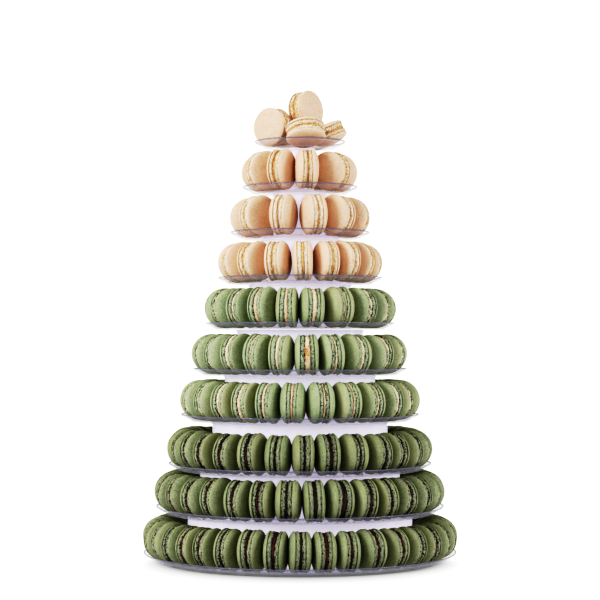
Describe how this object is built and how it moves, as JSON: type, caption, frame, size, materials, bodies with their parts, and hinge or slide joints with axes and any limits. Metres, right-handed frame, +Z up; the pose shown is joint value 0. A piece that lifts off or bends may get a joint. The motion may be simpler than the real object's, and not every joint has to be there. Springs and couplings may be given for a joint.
{
  "type": "macaron tower",
  "caption": "Tiered cone of macarons standing on edge round stacked clear plastic trays, cream above, sage and moss green below, with a loose heap on top.",
  "frame": {"origin": "centre of the flat underside of the lowest tray, on the table", "axes": "+Z is up along the tower's axis, and the side shown in the picture faces -Y"},
  "size_m": [0.3487, 0.3479, 0.5189],
  "materials": {
    "clear_plastic": "clear moulded plastic, milky where the drums are stacked",
    "cream": "satin baked shell",
    "sage": "satin baked shell",
    "moss": "satin baked shell"
  },
  "bodies": {
    "root": {"tray_01": "clear_plastic", "tray_02": "clear_plastic", "tray_03": "clear_plastic", "tray_04": "clear_plastic", "tray_05": "clear_plastic", "tray_06": "clear_plastic", "tray_07": "clear_plastic", "tray_08": "clear_plastic", "tray_09": "clear_plastic", "tray_10": "clear_plastic", "macaron_top_left": "cream", "macaron_top_centre": "cream", "macaron_top_right": "cream", "macaron_top_back": "cream", "macaron_top_top": "cream", "macaron_02_01": "cream", "macaron_02_02": "cream", "macaron_02_03": "cream", "macaron_02_04": "cream", "macaron_02_05": "cream", "macaron_02_06": "cream", "macaron_02_07": "cream", "macaron_02_08": "cream", "macaron_02_09": "cream", "macaron_03_01": "cream", "macaron_03_02": "cream", "macaron_03_03": "cream", "macaron_03_04": "cream", "macaron_03_05": "cream", "macaron_03_06": "cream", "macaron_03_07": "cream", "macaron_03_08": "cream", "macaron_03_09": "cream", "macaron_03_10": "cream", "macaron_03_11": "cream", "macaron_04_01": "cream", "macaron_04_02": "cream", "macaron_04_03": "cream", "macaron_04_04": "cream", "macaron_04_05": "cream", "macaron_04_06": "cream", "macaron_04_07": "cream", "macaron_04_08": "cream", "macaron_04_09": "cream", "macaron_04_10": "cream", "macaron_04_11": "cream", "macaron_04_12": "cream", "macaron_04_13": "cream", "macaron_04_14": "cream", "macaron_04_15": "cream", "macaron_04_16": "cream", "macaron_04_17": "cream", "macaron_ring_05": "sage", "macaron_ring_06": "sage", "macaron_ring_07": "sage", "macaron_ring_08": "moss", "macaron_ring_09": "moss", "macaron_ring_10": "moss"}
  },
  "joints": []
}
